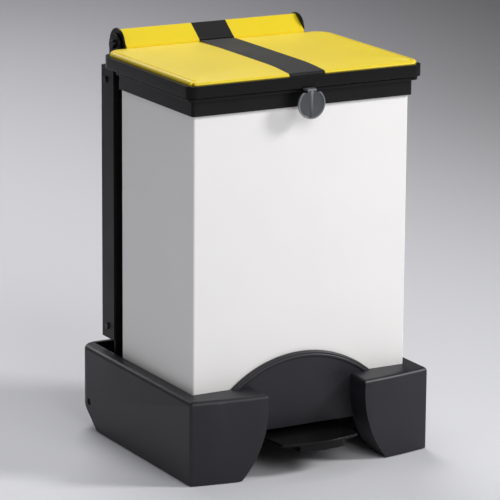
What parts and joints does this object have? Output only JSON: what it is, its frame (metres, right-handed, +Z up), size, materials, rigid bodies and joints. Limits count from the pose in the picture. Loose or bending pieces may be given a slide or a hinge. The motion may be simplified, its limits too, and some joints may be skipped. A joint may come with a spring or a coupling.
{
  "type": "pedal bin",
  "caption": "Pedal bin with a white square steel body, black moulded base, yellow and black hinged lid, rear uprights and rear wheels.",
  "frame": {"origin": "on the floor, under the middle of the bin's overall box", "axes": "+X to the right seen from the front, +Y to the back, +Z up"},
  "size_m": [0.3886, 0.395, 0.5973],
  "materials": {
    "base_black": "satin",
    "frame_black": "satin",
    "body_white": "gloss",
    "cover_yellow": "satin",
    "lid_black": "satin",
    "stripe_black": "satin",
    "clear_plastic": "gloss",
    "steel": "satin",
    "rubber_black": "matte",
    "nylon": "matte",
    "hub_grey": "satin",
    "tyre_rubber": "matte"
  },
  "bodies": {
    "base": {"base_shell": "base_black", "rubber_feet": "rubber_black", "kick_plate": "base_black", "deck": "frame_black", "body_sleeve": "body_white", "body_floor": "body_white", "frame_band": "frame_black", "band_ties": "frame_black", "sack_ring": "steel", "back_panel": "frame_black", "upright_left": "frame_black", "upright_right": "frame_black", "upright_bolts": "steel", "bracket_bolts": "steel", "hinge_bracket_left": "frame_black", "hinge_bracket_right": "frame_black", "hinge_rod": "steel", "hinge_caps": "steel", "rod_guides": "nylon", "pivot_brackets": "frame_black", "pivot_pin": "steel", "axle": "steel", "axle_collars": "steel"},
    "lid": {"lid_tray": "lid_black", "hinge_bushes": "nylon", "lid_cover": "cover_yellow", "lid_stripe": "stripe_black", "hinge_cover": "cover_yellow", "hinge_stripe": "stripe_black", "hinge_cheek_left": "lid_black", "hinge_cheek_right": "lid_black", "lid_buffers": "rubber_black", "lift_tab": "clear_plastic", "tab_screw": "steel", "drive_bracket": "frame_black", "crank_pin": "steel"},
    "pedal": {"pedal_lever": "frame_black", "lever_pin": "steel", "pedal_pad": "lid_black"},
    "rod": {"push_rod": "frame_black"},
    "wheel_left": {"wheel_hub_left": "hub_grey", "wheel_tyre_left": "tyre_rubber"},
    "wheel_right": {"wheel_hub_right": "hub_grey", "wheel_tyre_right": "tyre_rubber"}
  },
  "joints": [
    {"name": "lid_hinge", "type": "hinge", "parent": "base", "child": "lid", "pos_m": [0, 0.1535, 0.574], "axis": [-1, 0, 0], "range_deg": [0, 75]},
    {"name": "pedal_pivot", "type": "hinge", "parent": "base", "child": "pedal", "pos_m": [0, -0.0465, 0.031], "axis": [1, 0, 0], "range_deg": [0, 12.12]},
    {"name": "rod_slide", "type": "slide", "parent": "base", "child": "rod", "axis": [0, 0, 1], "range_m": [0, 0.03655]},
    {"name": "wheel_left_spin", "type": "hinge", "parent": "base", "child": "wheel_left", "pos_m": [-0.1568, 0.1595, 0.0398], "axis": [1, 0, 0], "continuous": true},
    {"name": "wheel_right_spin", "type": "hinge", "parent": "base", "child": "wheel_right", "pos_m": [0.1568, 0.1595, 0.0398], "axis": [1, 0, 0], "continuous": true}
  ],
  "couplings": [
    {"joint": "pedal_pivot", "follows": "lid_hinge", "ratio": 0.1615},
    {"joint": "rod_slide", "follows": "lid_hinge", "m_per_rad": 0.027904}
  ]
}
